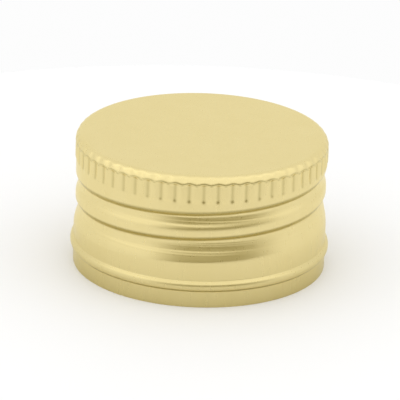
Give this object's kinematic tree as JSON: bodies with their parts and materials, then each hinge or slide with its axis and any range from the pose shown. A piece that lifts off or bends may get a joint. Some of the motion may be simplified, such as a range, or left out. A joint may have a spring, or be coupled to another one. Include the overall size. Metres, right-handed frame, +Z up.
{
  "type": "screw cap",
  "caption": "Gold aluminium screw cap for a small bottle: knurled edge, rolled thread, bead near the rim, foam sealing disc inside.",
  "frame": {"origin": "centre of the cut rim that the cap stands on", "axes": "+Z up through the centre of the top panel, along the thread's axis; the groove's lower turn passes the front, -Y, at 7.45 mm"},
  "size_m": [0.0288, 0.0288, 0.015],
  "materials": {
    "shell": "satin sheet under a pale gold clear lacquer, silver inside",
    "liner": "white closed-cell foam, matte"
  },
  "bodies": {
    "root": {"shell": "shell", "liner": "liner"}
  },
  "joints": []
}
